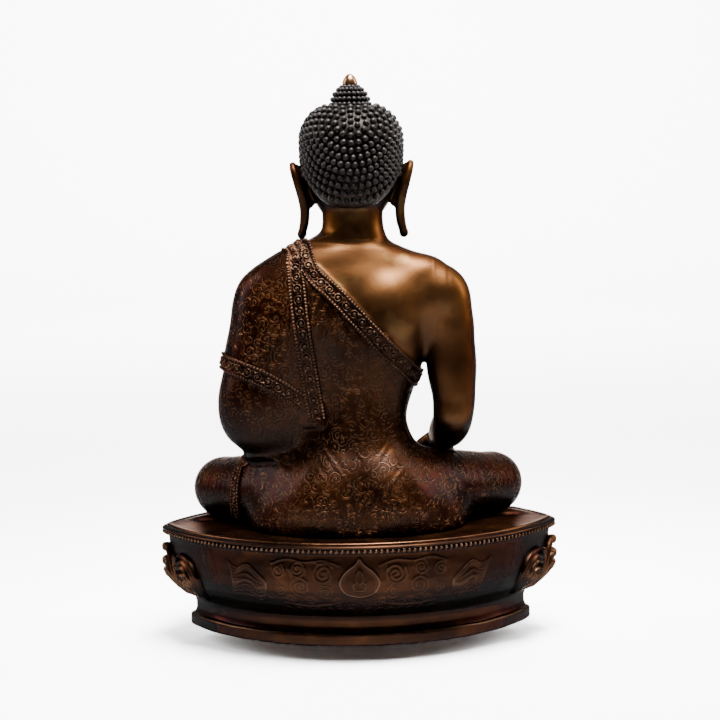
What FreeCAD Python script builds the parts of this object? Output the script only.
"""Seated buddha statue on a lens-shaped pedestal, as an assembly of separately cast copper pieces.

Row frame, millimetres: +Z up, the figure faces -Y, its right arm is on the -X side. The origin is the
centre of the pedestal's foot, in the plane it stands on.
"""
import math
import os

from FreeCAD import Placement, Rotation, Vector
import Part  # needs FreeCAD loaded first

# ---------------------------------------------------------------- driving dimensions
STATUE_HEIGHT = 316.0
WALL = 3.0                    # casting wall of the pedestal and the body

# Pedestal: half width at the corners, half depth at the middle, and height of each level
CORNER_RADIUS = 9.0
FOOT_WIDTH, FOOT_DEPTH, FOOT_HEIGHT = 99.4, 67.0, 6.6
WAIST_WIDTH, WAIST_DEPTH, WAIST_Z = 95.6, 62.4, 13.0
BELLY_WIDTH, BELLY_DEPTH, BELLY_Z = 110.0, 76.6, 37.0
NECK_WIDTH, NECK_DEPTH, NECK_Z = 110.6, 75.4, 52.6
RIM_WIDTH, RIM_DEPTH, RIM_Z = 114.6, 78.4, 57.6
DECK_WIDTH, DECK_DEPTH, DECK_Z = 111.4, 75.6, 59.0
SEAT_THICKNESS = 3.0
LEDGE = 5.0                   # the seat plate's bearing on the pedestal
BEAD_RADIUS, BEAD_Z = 1.15, 54.9

# Bottom cover, let into the foot
COVER_THICKNESS, COVER_Z, COVER_LIP = 1.2, 1.2, 2.2

# Corner ornaments
ORNAMENT_LOW, ORNAMENT_HIGH, ORNAMENT_PROUD, ORNAMENT_INNER_X = 18.0, 46.5, 4.6, 88.0
RIVET_RADIUS, RIVET_LENGTH, RIVET_Z = 1.5, 9.0, 41.0
RIVET_OFFSET_Y = 17.0

# Lugs under the figure, through slots in the seat plate, each with its cross pin
LUG_X, LUG_BACK_Y, LUG_FRONT_X, LUG_FRONT_Y = 22.0, 47.0, 36.0, -44.0
LUG_LENGTH, LUG_THICKNESS, LUG_DROP, SLOT_GAP = 9.0, 3.4, 7.5, 0.25
LUG_PIN_RADIUS, LUG_PIN_LENGTH = 0.9, 11.0
FILL_HOLE = 13.0              # radius of the hole between the pedestal's and the figure's hollows

# Head and neck
HEAD_Y, HEAD_WALL, CORE_HOLE = 7.0, 3.6, 2.2
NECK_RADIUS, NECK_Y, NECK_BOTTOM_Z, NECK_TOP_Z = 17.0, 12.5, 222.0, 246.0
SPIGOT_RADIUS, SPIGOT_LENGTH, SPIGOT_BORE = 11.0, 12.0, 6.5
USHNISHA_BASE, USHNISHA_TOP, USHNISHA_LOW_Z, USHNISHA_HIGH_Z = 13.0, 8.4, 294.0, 308.0
JEWEL_RADIUS, JEWEL_TIP, JEWEL_STEM_RADIUS, JEWEL_STEM_LENGTH = 5.2, 0.5, 1.6, 7.0
NECK_PIN_RADIUS, NECK_PIN_LENGTH, NECK_PIN_Z = 1.5, 30.0, 214.0

# Right shoulder joint
ARM_CUT_X = -45.5
TENON_RADIUS, TENON_LENGTH, TENON_Y, TENON_Z = 6.0, 10.0, 20.0, 188.0
ARM_PIN_RADIUS, ARM_PIN_LENGTH = 1.5, 16.0

# Left hand
WRIST = Vector(17.5, -35.2, 103.8)
SLEEVE_END = Vector(27.0, -31.5, 104.5)
HAND_TENON_RADIUS, HAND_TENON_LENGTH = 3.6, 15.0
HAND_PIN_RADIUS, HAND_PIN_LENGTH = 1.2, 9.0

PARTS = "parts"


# ---------------------------------------------------------------- shape helpers
def save(shape, name):
    shape.exportStep(os.path.join(PARTS, name + ".step"))
    solids = [s for s in shape.Solids if s.Volume > 0]
    print(f"{name}: {len(solids)} solid(s), {shape.Volume / 1000:.2f} cm3, valid {shape.isValid()}")


def lens_wire(half_width, half_depth, z, corner=CORNER_RADIUS):
    """Outline of two equal arcs that meet in rounded corners at x = +/- half_width."""
    reach = half_width - corner
    radius = (reach**2 + half_depth**2 - corner**2) / (2 * (half_depth - corner))
    tx = reach * radius / (radius - corner)
    ty = (radius - half_depth) * corner / (radius - corner)
    arcs = (
        ((tx, ty), (0, half_depth), (-tx, ty)),
        ((-tx, ty), (-half_width, 0), (-tx, -ty)),
        ((-tx, -ty), (0, -half_depth), (tx, -ty)),
        ((tx, -ty), (half_width, 0), (tx, ty)),
    )
    edges = [Part.Arc(*[Vector(x, y, z) for x, y in arc]).toShape() for arc in arcs]
    return Part.Wire(edges)


def lens_loft(levels, inset=0.0, ruled=False):
    """Solid through lens outlines given as (half_width, half_depth, z)."""
    wires = [lens_wire(w - inset, d - inset, z, CORNER_RADIUS - inset * 0.6) for w, d, z in levels]
    return Part.makeLoft(wires, True, ruled)


def lens_plate(half_width, half_depth, z_low, z_high, corner=CORNER_RADIUS):
    face = Part.Face(lens_wire(half_width, half_depth, z_low, corner))
    return face.extrude(Vector(0, 0, z_high - z_low))


def along(shape, start, end):
    """Places a shape built along +Z from the origin so that it runs from start towards end."""
    turn = Rotation(Vector(0, 0, 1), end - start)
    shape.Placement = Placement(start, turn)
    return shape


def ring(centre, normal, half_across, half_high):
    """Closed smooth oval square to a direction; its high axis is the one nearest to vertical."""
    normal = Vector(normal).normalize()
    reference = Vector(0, 0, 1) if abs(normal.z) < 0.8 else Vector(0, 1, 0)
    across = normal.cross(reference).normalize()
    high = across.cross(normal)
    points = []
    for i in range(10):
        t = 2 * math.pi * i / 10
        points.append(centre + across * (half_across * math.cos(t)) + high * (half_high * math.sin(t)))
    curve = Part.BSplineCurve()
    curve.interpolate(points, PeriodicFlag=True)
    return Part.Wire(curve.toShape())


def tube(stations, flat=1.0):
    """Smooth limb with rounded ends through (x, y, z, radius) stations; flat scales the across axis."""
    points = [Vector(*s[:3]) for s in stations]
    radii = [s[3] for s in stations]
    last = len(points) - 1
    tangents = [(points[min(i + 1, last)] - points[max(i - 1, 0)]).normalize() for i in range(last + 1)]
    wires = []
    for reach, size in ((0.96, 0.25), (0.72, 0.7)):
        wires.append(ring(points[0] - tangents[0] * radii[0] * reach, tangents[0],
                          radii[0] * size * flat, radii[0] * size))
    for point, tangent, radius in zip(points, tangents, radii):
        wires.append(ring(point, tangent, radius * flat, radius))
    for reach, size in ((0.72, 0.7), (0.96, 0.25)):
        wires.append(ring(points[last] + tangents[last] * radii[last] * reach, tangents[last],
                          radii[last] * size * flat, radii[last] * size))
    return Part.makeLoft(wires, True, False)


def oval_wire(z, centre_x, half_width, back, front, inset=0.0):
    """Closed smooth oval at one level, from y = front to y = back."""
    half_depth, middle = (back - front) / 2 - inset, (back + front) / 2
    points = []
    for i in range(12):
        t = 2 * math.pi * i / 12
        across = (half_width - inset) * math.cos(t)
        points.append(Vector(centre_x + across, middle + half_depth * math.sin(t), z))
    curve = Part.BSplineCurve()
    curve.interpolate(points, PeriodicFlag=True)
    return Part.Wire(curve.toShape())


def oval_loft(levels, inset=0.0):
    return Part.makeLoft([oval_wire(*level, inset=inset) for level in levels], True, False)


def pin(centre, axis, radius, length):
    direction = Vector(axis).normalize()
    start = centre - direction * (length / 2)
    return Part.makeCylinder(radius, length, start, direction)


def box(x0, x1, y0, y1, z0, z1):
    return Part.makeBox(x1 - x0, y1 - y0, z1 - z0, Vector(x0, y0, z0))


def union(shapes):
    whole = shapes[0]
    for shape in shapes[1:]:
        whole = whole.fuse(shape)
    return whole


def mirrored(point):
    return Vector(-point.x, point.y, point.z)


# ---------------------------------------------------------------- pedestal
DRUM_LEVELS = [
    (WAIST_WIDTH + 1.0, WAIST_DEPTH + 1.4, FOOT_HEIGHT),
    (WAIST_WIDTH, WAIST_DEPTH, WAIST_Z),
    (WAIST_WIDTH + 3.0, WAIST_DEPTH + 4.4, WAIST_Z + 6.0),
    (BELLY_WIDTH - 3.0, BELLY_DEPTH - 3.4, BELLY_Z - 10.0),
    (BELLY_WIDTH, BELLY_DEPTH, BELLY_Z),
    (NECK_WIDTH, NECK_DEPTH, NECK_Z),
]
SEAT_LOW_Z = DECK_Z - SEAT_THICKNESS


def drum_outside():
    return lens_loft(DRUM_LEVELS)


def lug_boxes(gap=0.0):
    """The figure's four lugs, or with a gap the slots they pass through."""
    places = [(side * x, y) for x, y in ((LUG_X, LUG_BACK_Y), (LUG_FRONT_X, LUG_FRONT_Y)) for side in (1, -1)]
    half_l, half_t = LUG_LENGTH / 2 + gap, LUG_THICKNESS / 2 + gap
    return [
        box(x - half_l, x + half_l, y - half_t, y + half_t, DECK_Z - LUG_DROP, DECK_Z + 6.0)
        for x, y in places
    ]


def lug_pin_shapes():
    z = SEAT_LOW_Z - LUG_PIN_RADIUS - 0.1
    return [
        pin(Vector(b.BoundBox.Center.x, b.BoundBox.Center.y, z), (0, 1, 0), LUG_PIN_RADIUS, LUG_PIN_LENGTH)
        for b in lug_boxes()
    ]


def rivet_shapes():
    """Two rivets through each corner ornament and the wall behind it, square to the corner's two faces."""
    rivets = []
    for side in (-1, 1):
        for way in (-1, 1):
            outward = Vector(side * 0.93, way * 0.37, 0)
            centre = Vector(side * (BELLY_WIDTH - 8.0), way * RIVET_OFFSET_Y, RIVET_Z)
            rivets.append(pin(centre, outward, RIVET_RADIUS, RIVET_LENGTH))
    return rivets


def make_pedestal():
    foot = lens_plate(FOOT_WIDTH, FOOT_DEPTH, 0, FOOT_HEIGHT)
    drum = drum_outside()
    flange = lens_loft([(NECK_WIDTH, NECK_DEPTH, NECK_Z), (RIM_WIDTH, RIM_DEPTH, RIM_Z - 1.2)], ruled=True)
    rim = lens_plate(RIM_WIDTH, RIM_DEPTH, RIM_Z - 1.2, RIM_Z)
    outside = union([foot, drum, flange, rim])
    hollow = [
        lens_plate(FOOT_WIDTH - 4.4, FOOT_DEPTH - 4.4, COVER_Z + COVER_THICKNESS, FOOT_HEIGHT + 0.5),
        lens_loft(DRUM_LEVELS, inset=WALL),
        lens_plate(FOOT_WIDTH - COVER_LIP, FOOT_DEPTH - COVER_LIP, 0, COVER_Z + COVER_THICKNESS),
        lens_plate(DECK_WIDTH - LEDGE, DECK_DEPTH - LEDGE, NECK_Z - 0.5, DECK_Z),
        lens_plate(DECK_WIDTH, DECK_DEPTH, SEAT_LOW_Z, DECK_Z),
    ]
    casting = outside
    for space in hollow:
        casting = casting.cut(space)
    groove = bead_ring()
    casting = casting.cut(groove)
    for rivet in rivet_shapes():
        casting = casting.cut(rivet)
    return casting


def make_seat_plate():
    plate = lens_plate(DECK_WIDTH, DECK_DEPTH, SEAT_LOW_Z, DECK_Z)
    plate = plate.cut(Part.makeCylinder(FILL_HOLE, SEAT_THICKNESS + 2, Vector(0, 0, SEAT_LOW_Z - 1)))
    for slot in lug_boxes(SLOT_GAP):
        plate = plate.cut(slot)
    return plate


def bead_ring():
    outer = lens_plate(RIM_WIDTH - 0.6 + BEAD_RADIUS, RIM_DEPTH - 0.6 + BEAD_RADIUS,
                       BEAD_Z - BEAD_RADIUS, BEAD_Z + BEAD_RADIUS)
    inner = lens_plate(RIM_WIDTH - 0.6 - BEAD_RADIUS, RIM_DEPTH - 0.6 - BEAD_RADIUS,
                       BEAD_Z - BEAD_RADIUS - 1, BEAD_Z + BEAD_RADIUS + 1)
    return outer.cut(inner)


def make_ornament(side):
    """Leaf-scroll casting that wraps the corner of the drum, as a curved shell with a waisted outline."""
    proud = ORNAMENT_PROUD
    shell = lens_loft(
        [
            (WAIST_WIDTH + 4.0, WAIST_DEPTH + 5.0, ORNAMENT_LOW),
            (BELLY_WIDTH + proud * 0.5, BELLY_DEPTH + proud * 0.4, ORNAMENT_LOW + 7.5),
            (BELLY_WIDTH + proud, BELLY_DEPTH + proud, 31.5),
            (BELLY_WIDTH + proud * 0.8, BELLY_DEPTH + proud * 0.8, 39.0),
            (BELLY_WIDTH + 1.6, BELLY_DEPTH + 1.6, ORNAMENT_HIGH),
        ]
    )
    keep = box(ORNAMENT_INNER_X, 130, -60, 60, ORNAMENT_LOW - 1, ORNAMENT_HIGH + 1)
    piece = shell.common(keep)
    if side < 0:
        piece = piece.mirror(Vector(), Vector(1, 0, 0))
    piece = piece.cut(drum_outside())
    for rivet in rivet_shapes():
        piece = piece.cut(rivet)
    return piece


def make_bottom_cover():
    inset = COVER_LIP + 0.05
    return lens_plate(FOOT_WIDTH - inset, FOOT_DEPTH - inset, COVER_Z, COVER_Z + COVER_THICKNESS)


# ---------------------------------------------------------------- figure
# Levels of a loft: height, centre x, half width, back y, front y
TORSO = [
    (DECK_Z - 2, 0, 41.0, 51.0, -14.0),
    (72.0, 0, 41.5, 54.0, -14.0),
    (92.0, 0, 36.0, 53.0, -10.0),
    (108.0, 0, 31.0, 46.5, -5.0),
    (121.0, 0, 27.5, 42.5, -3.5),
    (135.0, 0, 31.0, 41.5, -6.0),
    (150.0, 0, 37.5, 42.5, -9.0),
    (170.0, 0, 44.5, 44.5, -11.5),
    (188.0, 0, 47.0, 42.5, -9.5),
    (201.0, 0, 46.0, 38.5, -5.5),
    (210.0, 0, 40.0, 34.5, -3.5),
    (217.0, 0, 29.5, 31.5, -3.5),
    (NECK_BOTTOM_Z, 0, 20.5, 29.5, -4.4),
]
SEAT = [
    (DECK_Z - 5, 0, 57.0, 56.6, -10.0),
    (64.0, 0, 60.0, 58.4, -12.0),
    (76.0, 0, 56.0, 56.0, -10.0),
    (88.0, 0, 43.0, 52.0, -8.0),
]
ROBED_SIDE = [
    (103.0, 47, 13.0, 31.0, -4.0),
    (112.0, 48, 23.0, 36.0, -8.0),
    (125.0, 48, 28.0, 39.0, -8.0),
    (142.0, 46, 28.8, 40.0, -7.0),
    (158.0, 44, 28.6, 41.0, -6.0),
    (175.0, 42, 26.8, 41.0, -4.0),
    (190.0, 40, 26.4, 38.5, -1.0),
    (200.0, 36, 26.4, 35.5, 2.0),
    (207.0, 31, 24.5, 32.5, 5.0),
    (213.0, 25, 21.0, 29.5, 7.0),
    (218.0, 22, 15.0, 26.0, 10.0),
    (221.0, 21, 9.0, 22.0, 13.0),
]
THIGH = [(16, 30, 80, 25.0), (38, 13, 78, 23.5), (60, -6, 76, 20.5), (77.5, -23, 75.2, 17.2)]
SHIN = [(80.5, -33, 74.6, 16.0), (50, -41, 74, 16.0), (14, -44, 74, 16.4)]
THIGH_CORE_START, THIGH_CORE_END = Vector(17, 27, 78), Vector(72, -19, 75)
THIGH_CORE_RADII = (18.5, 11.5)
SHIN_CORE_HALF_LENGTH, SHIN_CORE_Y, SHIN_CORE_Z, SHIN_CORE_RADIUS = 64.0, -42.0, 74.5, 11.0
FOOT = [(12, -21, 94, 7.5), (30, -19, 96, 6.6), (46, -17, 98, 6.2), (57, -15, 98.5, 4.6)]
LEFT_SLEEVE = [(58, 20, 132, 15.0), (58, 17, 120, 13.5), (50, -1, 113, 12.5), (38, -20, 108, 11.0),
               (27, -31.5, 104.5, 9.0)]
RIGHT_ARM = [
    (-42, 18, 199, 13.0),
    (-48.5, 18.5, 190, 15.4),
    (-52.5, 19.5, 176, 15.2),
    (-54, 20, 162, 14.2),
    (-54.5, 21.5, 148, 13.4),
    (-55.5, 22.5, 132, 12.2),
    (-54.6, 20, 119.4, 11.3),
    (-52.8, 4, 111.8, 10.8),
    (-51, -14, 107, 9.2),
    (-49.5, -33, 102.5, 6.6),
    (-49.5, -46, 97.5, 6.8),
]


def flip(stations):
    return [(-s[0],) + tuple(s[1:]) for s in stations]


def leg_solids():
    return [tube(stations) for stations in (THIGH, SHIN, flip(THIGH), flip(SHIN))]


def body_core():
    """The clay core that leaves the body hollow: trunk, both thighs and the crossed shins."""
    trunk = [level for level in TORSO if level[0] < 208]
    trunk[0] = (DECK_Z - 4,) + TORSO[0][1:]
    cores = [oval_loft(trunk, inset=WALL)]
    thigh_length = (THIGH_CORE_END - THIGH_CORE_START).Length
    for turn in (lambda p: p, mirrored):
        cone = Part.makeCone(*THIGH_CORE_RADII, thigh_length)
        cores.append(along(cone, turn(THIGH_CORE_START), turn(THIGH_CORE_END)))
    shins = pin(Vector(0, SHIN_CORE_Y, SHIN_CORE_Z), (1, 0, 0), SHIN_CORE_RADIUS, 2 * SHIN_CORE_HALF_LENGTH)
    return cores + [shins]


def feet_solids():
    return [tube(FOOT, flat=1.25), tube(flip(FOOT), flat=1.25)]


def left_arm_solids():
    return [oval_loft(ROBED_SIDE), tube(LEFT_SLEEVE)]


def make_body():
    """Torso, lower robe, crossed legs, feet and the robed left arm: one hollow casting, open underneath."""
    stub = tube([(-24, 20, 186, 17.0), (-44, 19, 188, 15.8)])
    hem = lens_plate(90.0, 62.0, DECK_Z, DECK_Z + 2.4).common(box(-40, 40, -70, -30, DECK_Z, DECK_Z + 3))
    trunk = [oval_loft(TORSO), oval_loft(SEAT)]
    outside = union(trunk + leg_solids() + left_arm_solids() + feet_solids() + [stub, hem])
    outside = outside.cut(box(-120, 120, -90, 90, DECK_Z - 40, DECK_Z))
    # The socket face of the right arm
    outside = outside.cut(box(-90, ARM_CUT_X, -20, 60, 160, 215))
    body = outside
    for core in body_core():
        body = body.cut(core)
    body = union([body] + lug_boxes())
    sockets = lug_pin_shapes() + [neck_spigot(), arm_tenon(), neck_pin(), arm_pin(), hand_tenon(), hand_pin()]
    for socket in sockets:
        body = body.cut(socket)
    return body


def body_skin():
    """The outside of the body where the separately cast arm and hand lie against it."""
    return union([oval_loft(TORSO), oval_loft(SEAT)] + leg_solids() + feet_solids() + left_arm_solids())


def neck_spigot():
    foot = Vector(0, NECK_Y, NECK_BOTTOM_Z - SPIGOT_LENGTH)
    return Part.makeCylinder(SPIGOT_RADIUS, SPIGOT_LENGTH + 6, foot)


def neck_pin():
    return pin(Vector(0, NECK_Y, NECK_PIN_Z), (1, 0, 0), NECK_PIN_RADIUS, NECK_PIN_LENGTH)


# Head levels, chin to crown
SKULL = [
    (230.0, 0, 9.0, -3.0, -19.0),
    (233.0, 0, 15.0, 6.0, -23.0),
    (239.0, 0, 20.0, 24.0, -25.0),
    (247.0, 0, 23.5, 33.0, -25.5),
    (257.0, 0, 25.6, 36.0, -24.5),
    (269.0, 0, 26.8, 37.0, -24.5),
    (280.0, 0, 27.0, 36.0, -22.0),
    (286.4, 0, 24.8, 32.5, -18.5),
    (290.2, 0, 20.6, 27.0, -13.0),
    (292.6, 0, 14.8, 21.0, -7.0),
]
HAIR = [
    (234.0, 0, 15.0, 26.0, 2.0),
    (244.0, 0, 24.0, 35.5, -12.0),
    (256.0, 0, 28.6, 39.0, -22.0),
    (268.0, 0, 29.9, 40.0, -26.5),
    (281.0, 0, 30.4, 39.0, -25.0),
    (287.6, 0, 28.0, 36.0, -21.5),
    (292.2, 0, 24.0, 30.5, -16.0),
    (295.2, 0, 19.0, 25.0, -11.0),
    (296.8, 0, 14.2, 20.5, -7.0),
]
EAR = [(29.8, 9, 262, 5.4), (28.8, 7, 250, 4.2), (27.8, 6, 239, 2.8), (28.8, 5, 228, 3.8)]


def ear_solids():
    return [tube(EAR, flat=0.75), tube(flip(EAR), flat=0.75)]


def face_features():
    """Nose, lips and lowered eyelids in generic proportions."""
    nose = tube([(0, -24, 259, 1.6), (0, -26.5, 252, 2.2), (0, -28.0, 247, 2.8)])
    lips = tube([(-5, -24.6, 240.4, 1.0), (0, -26.6, 240.4, 1.9), (5, -24.6, 240.4, 1.0)])
    solids = [nose, lips]
    for side in (-1, 1):
        solids.append(tube([(side * 4, -24.2, 255.4, 1.0), (side * 9.5, -23.6, 255.6, 2.3),
                            (side * 15.5, -19.8, 255.8, 1.2)]))
        solids.append(tube([(side * 1.8, -27.0, 246, 1.0), (side * 3.2, -26.2, 246.2, 1.5)]))
    return solids


def make_head():
    """Face, ears and neck in one hollow casting, with a spigot that enters the body."""
    neck_levels = [
        (NECK_BOTTOM_Z, 0, NECK_RADIUS + 2.6, NECK_Y + 16.5, NECK_Y - 16.5),
        (NECK_BOTTOM_Z + 7, 0, NECK_RADIUS + 0.4, NECK_Y + 15.4, NECK_Y - 15.4),
        (NECK_TOP_Z, 0, NECK_RADIUS, NECK_Y + 15.0, NECK_Y - 16.0),
    ]
    trunk = [oval_loft(SKULL), oval_loft(neck_levels)]
    outside = union(trunk + ear_solids() + face_features() + [neck_spigot()])
    hollow = oval_loft([level for level in SKULL if level[0] > 235], inset=HEAD_WALL)
    bore = Part.makeCylinder(SPIGOT_BORE, 50, Vector(0, NECK_Y, 200))
    core_hole = Part.makeCylinder(CORE_HOLE, 30, Vector(0, HEAD_Y, 278))
    return outside.cut(hollow).cut(bore).cut(neck_pin()).cut(core_hole)


def hairline_space():
    """Everything in front of and below the hairline, which the hair cap leaves free."""
    face = Part.makeBox(90, 60, 90, Vector(-45, -60, -90))
    face.rotate(Vector(), Vector(1, 0, 0), 24)
    face.translate(Vector(0, -8, 276))
    below = Part.makeBox(90, 90, 60, Vector(-45, -60, -60))
    below.rotate(Vector(), Vector(1, 0, 0), -34)
    below.translate(Vector(0, 6, 259))
    return face.fuse(below)


def make_hair_cap():
    """Shell of hair over the crown and the back of the head, with the cranial bump and the jewel's socket."""
    bump = Part.makeCone(USHNISHA_BASE, USHNISHA_TOP, USHNISHA_HIGH_Z - USHNISHA_LOW_Z,
                         Vector(0, HEAD_Y, USHNISHA_LOW_Z))
    cap = union([oval_loft(HAIR), bump]).cut(hairline_space())
    cap = cap.cut(union([oval_loft(SKULL)] + ear_solids()))
    return cap.cut(jewel_stem())


def jewel_stem():
    base = Vector(0, HEAD_Y, USHNISHA_HIGH_Z - JEWEL_STEM_LENGTH)
    return Part.makeCylinder(JEWEL_STEM_RADIUS, JEWEL_STEM_LENGTH, base)


def make_jewel():
    """Drop-shaped jewel with a slightly blunted tip, turned about its stem."""
    base, tip = USHNISHA_HIGH_Z, STATUE_HEIGHT
    flank = Vector(JEWEL_RADIUS * 0.84, 0, base + (tip - base) * 0.5)
    corners = [
        Vector(0, 0, base), Vector(JEWEL_RADIUS, 0, base),
        Vector(JEWEL_TIP, 0, tip), Vector(0, 0, tip),
    ]
    outline = [
        Part.LineSegment(corners[0], corners[1]).toShape(),
        Part.Arc(corners[1], flank, corners[2]).toShape(),
        Part.LineSegment(corners[2], corners[3]).toShape(),
        Part.LineSegment(corners[3], corners[0]).toShape(),
    ]
    drop = Part.Face(Part.Wire(outline)).revolve(Vector(), Vector(0, 0, 1), 360)
    drop.translate(Vector(0, HEAD_Y, 0))
    return union([drop, jewel_stem()])


# ---------------------------------------------------------------- arm and hand
def arm_tenon():
    return Part.makeCylinder(TENON_RADIUS, TENON_LENGTH, Vector(ARM_CUT_X, TENON_Y, TENON_Z), Vector(1, 0, 0))


def arm_pin():
    centre = Vector(ARM_CUT_X + TENON_LENGTH * 0.6, TENON_Y, TENON_Z)
    return pin(centre, (0, 1, 0), ARM_PIN_RADIUS, ARM_PIN_LENGTH)


def fingers(knuckle, bend, tip, step, radius):
    """Four parallel fingers: each runs from its knuckle over a middle joint to its tip."""
    solids = []
    for i in range(4):
        shift = step * (i - 1.5)
        sizes = ((knuckle, radius), (bend, radius * 0.94), (tip, radius * 0.75))
        stations = [tuple(p + shift) + (r,) for p, r in sizes]
        solids.append(tube(stations))
    return solids


def make_right_arm():
    """Bare arm reaching down over the shin, fingers towards the ground."""
    arm = [tube(RIGHT_ARM)]
    knuckle, bend, tip = Vector(-49.5, -50, 95), Vector(-49.5, -59.5, 86), Vector(-49.5, -61, 68)
    digits = fingers(knuckle, bend, tip, Vector(4.3, 0, 0), 2.6)
    thumb = tube([(-44, -42, 98.5, 3.2), (-38, -52, 93, 2.6), (-37, -58, 86, 2.2)])
    shape = union(arm + digits + [thumb])
    shape = shape.cut(box(ARM_CUT_X, 0, -20, 60, 160, 215))
    shape = shape.cut(body_skin())
    return shape.fuse(arm_tenon()).cut(arm_pin())


def hand_tenon():
    beyond = SLEEVE_END + (SLEEVE_END - WRIST) * 4
    return along(Part.makeCylinder(HAND_TENON_RADIUS, HAND_TENON_LENGTH), WRIST, beyond)


def hand_pin():
    centre = WRIST + (SLEEVE_END - WRIST).normalize() * 11.0
    return pin(centre, (0, 0, 1), HAND_PIN_RADIUS, HAND_PIN_LENGTH)


def make_left_hand():
    """Open hand in the lap, palm up; its tenon enters the sleeve."""
    wrist = tube([(23, -33, 104, 6.4), (15, -36, 103.6, 5.6)])
    palm = tube([(14, -37, 103.2, 5.0), (0, -39.5, 102.6, 4.6)], flat=2.0)
    digits = fingers(Vector(-2, -39.5, 102.6), Vector(-14, -40.5, 102.2), Vector(-24, -40.5, 103.6),
                     Vector(0, 4.6, 0), 2.5)
    thumb = tube([(12, -47, 104.5, 3.2), (2, -51, 107, 2.5), (-4, -51, 108, 2.1)])
    hand = union([wrist, palm, thumb] + digits)
    hand = hand.cut(body_skin())
    return hand.fuse(hand_tenon()).cut(hand_pin())


# ---------------------------------------------------------------- build
def main():
    os.makedirs(PARTS, exist_ok=True)
    save(make_pedestal(), "pedestal_casting")
    save(make_seat_plate(), "seat_plate")
    save(bead_ring(), "bead_border")
    save(make_ornament(1), "corner_ornament_left")
    save(make_ornament(-1), "corner_ornament_right")
    save(Part.makeCompound(rivet_shapes()), "ornament_rivets")
    save(make_bottom_cover(), "bottom_cover")
    save(make_body(), "body_casting")
    save(Part.makeCompound(lug_pin_shapes()), "lug_pins")
    save(make_head(), "head_casting")
    save(neck_pin(), "neck_pin")
    save(make_hair_cap(), "hair_cap")
    save(make_jewel(), "ushnisha_jewel")
    save(make_right_arm(), "right_arm")
    save(arm_pin(), "right_arm_pin")
    save(make_left_hand(), "left_hand")
    save(hand_pin(), "left_hand_pin")


main()
